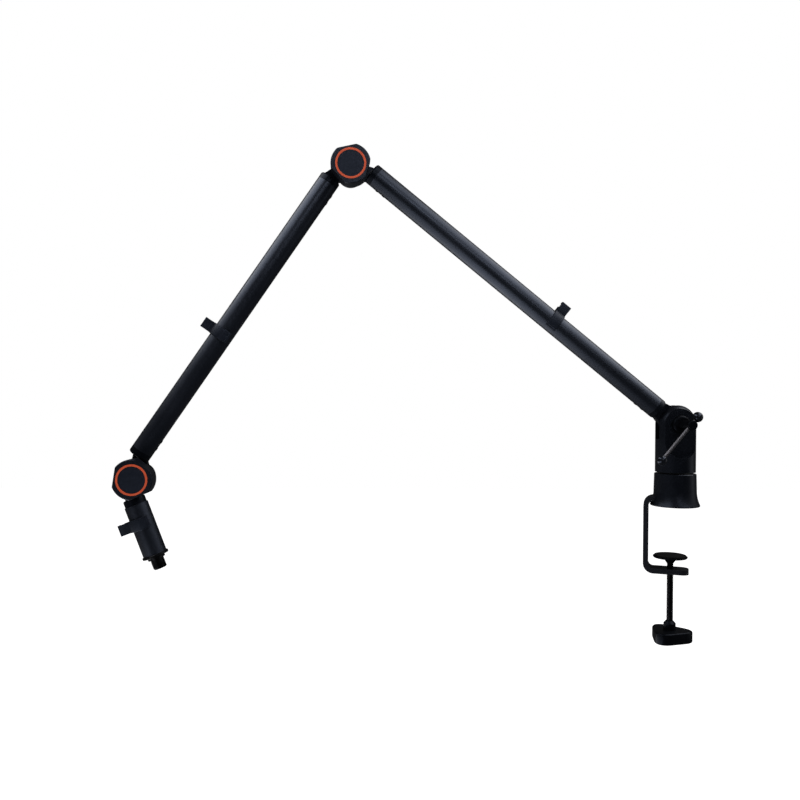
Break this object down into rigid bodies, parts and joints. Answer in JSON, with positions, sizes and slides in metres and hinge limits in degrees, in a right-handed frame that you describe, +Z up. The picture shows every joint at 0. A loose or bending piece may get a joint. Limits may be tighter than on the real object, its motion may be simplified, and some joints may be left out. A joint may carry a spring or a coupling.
{
  "type": "microphone boom arm",
  "caption": "Friction-locked desk boom arm for a microphone: screw clamp, swivel post, folding round tubes, clamp knobs with orange rings and a threaded mic stud.",
  "frame": {"origin": "centre of the pedestal's desk face, where it stands on the table", "axes": "+Z up along the swivel axis; the arm reaches towards -X; knobs face -Y; hinge axes along Y"},
  "size_m": [0.6944, 0.0794, 0.5856],
  "materials": {
    "black_casting": "satin powder coat, fine texture",
    "black_strip": "satin powder coat",
    "black_tube": "satin black anodised",
    "bright_steel": "zinc plated",
    "black_steel": "black oxide",
    "knob_plastic": "moulded, fine matte grain",
    "orange_ring": "satin orange",
    "ball_plastic": "gloss black",
    "clip_plastic": "moulded, satin",
    "bearing_nylon": "plain nylon",
    "brass": "turned",
    "bronze_bush": "sintered",
    "rubber": "matte"
  },
  "bodies": {
    "base": {"clamp_bracket": "black_strip", "pedestal_bell": "black_casting", "desk_pad": "rubber", "swivel_spindle": "bright_steel", "spindle_bolt": "bright_steel", "thrust_washer": "bearing_nylon"},
    "pad": {"pressure_pad": "black_steel", "pad_facing": "rubber"},
    "screw": {"clamp_screw": "black_steel", "clamp_knob": "knob_plastic"},
    "post": {"swivel_post": "black_casting", "spindle_bush": "bronze_bush", "spindle_retaining_screw": "black_steel", "shoulder_nut": "black_steel"},
    "t_handle": {"shoulder_t_bolt": "black_steel", "shoulder_collar": "black_steel"},
    "bar": {"tommy_bar": "black_steel", "tommy_balls": "ball_plastic"},
    "lower_arm": {"lower_tube": "black_tube", "shoulder_lug": "black_casting", "lower_elbow_lug": "black_casting", "lower_plug_screws": "black_steel", "shoulder_friction_washers": "bearing_nylon", "elbow_bolt": "bright_steel", "elbow_rear_cap": "knob_plastic", "elbow_friction_washer": "bearing_nylon"},
    "lower_clip": {"lower_cable_clip": "clip_plastic"},
    "elbow_knob_unit": {"elbow_knob": "knob_plastic", "elbow_knob_ring": "orange_ring", "elbow_knob_cap": "knob_plastic", "elbow_knob_insert": "brass", "elbow_knob_washer": "bright_steel"},
    "upper_arm": {"upper_tube": "black_tube", "upper_elbow_lug": "black_casting", "upper_wrist_lug": "black_casting", "upper_plug_screws": "black_steel", "wrist_bolt": "bright_steel", "wrist_rear_cap": "knob_plastic", "wrist_friction_washer": "bearing_nylon"},
    "upper_clip": {"upper_cable_clip": "clip_plastic"},
    "wrist_knob_unit": {"wrist_knob": "knob_plastic", "wrist_knob_ring": "orange_ring", "wrist_knob_cap": "knob_plastic", "wrist_knob_insert": "brass", "wrist_knob_washer": "bright_steel"},
    "mic_end": {"mic_lug": "black_casting", "mic_sleeve": "black_tube", "mic_plug_screws": "black_steel", "mic_thread_stud": "black_steel"},
    "mic_clip": {"mic_cable_clip": "clip_plastic"}
  },
  "joints": [
    {"name": "pan", "type": "hinge", "parent": "base", "child": "post", "pos_m": [0, 0, 0.06], "axis": [0, 0, 1], "continuous": true},
    {"name": "shoulder_tilt", "type": "hinge", "parent": "post", "child": "lower_arm", "pos_m": [0, 0, 0.1002], "axis": [0, 1, 0], "range_deg": [-23, 61]},
    {"name": "elbow_fold", "type": "hinge", "parent": "lower_arm", "child": "upper_arm", "pos_m": [-0.39998, 0, 0.39788], "axis": [0, 1, 0], "range_deg": [-55, 89]},
    {"name": "wrist_tilt", "type": "hinge", "parent": "upper_arm", "child": "mic_end", "pos_m": [-0.6431, 0, 0.03307], "axis": [0, 1, 0], "range_deg": [-65, 74]},
    {"name": "shoulder_lock_turn", "type": "hinge", "parent": "post", "child": "t_handle", "pos_m": [0, 0, 0.1002], "axis": [0, -1, 0], "range_deg": [0, 360]},
    {"name": "tommy_bar_slide", "type": "slide", "parent": "t_handle", "child": "bar", "axis": [0.6428, 0, 0.766], "range_m": [0, 0.042]},
    {"name": "elbow_knob_turn", "type": "hinge", "parent": "lower_arm", "child": "elbow_knob_unit", "pos_m": [-0.39998, 0, 0.39788], "axis": [0, -1, 0], "range_deg": [0, 360]},
    {"name": "wrist_knob_turn", "type": "hinge", "parent": "upper_arm", "child": "wrist_knob_unit", "pos_m": [-0.6431, 0, 0.03307], "axis": [0, -1, 0], "range_deg": [0, 360]},
    {"name": "clamp_slide", "type": "slide", "parent": "base", "child": "pad", "axis": [0, 0, 1], "range_m": [-0.0045, 0.057]},
    {"name": "clamp_turn", "type": "hinge", "parent": "pad", "child": "screw", "pos_m": [-0.00464, 0.00187, 0], "axis": [0, 0, 1], "range_deg": [-1300, 16420]},
    {"name": "lower_clip_slide", "type": "slide", "parent": "lower_arm", "child": "lower_clip", "axis": [-0.7849, 0, 0.6196], "range_m": [-0.1, 0.15]},
    {"name": "upper_clip_slide", "type": "slide", "parent": "upper_arm", "child": "upper_clip", "axis": [-0.5546, 0, -0.8321], "range_m": [-0.15, 0.1]},
    {"name": "mic_clip_slide", "type": "slide", "parent": "mic_end", "child": "mic_clip", "axis": [0.3616, 0, -0.9323], "range_m": [-0.01, 0.025]}
  ],
  "couplings": [
    {"joint": "clamp_turn", "follows": "clamp_slide", "rad_per_m": 5026.5}
  ]
}
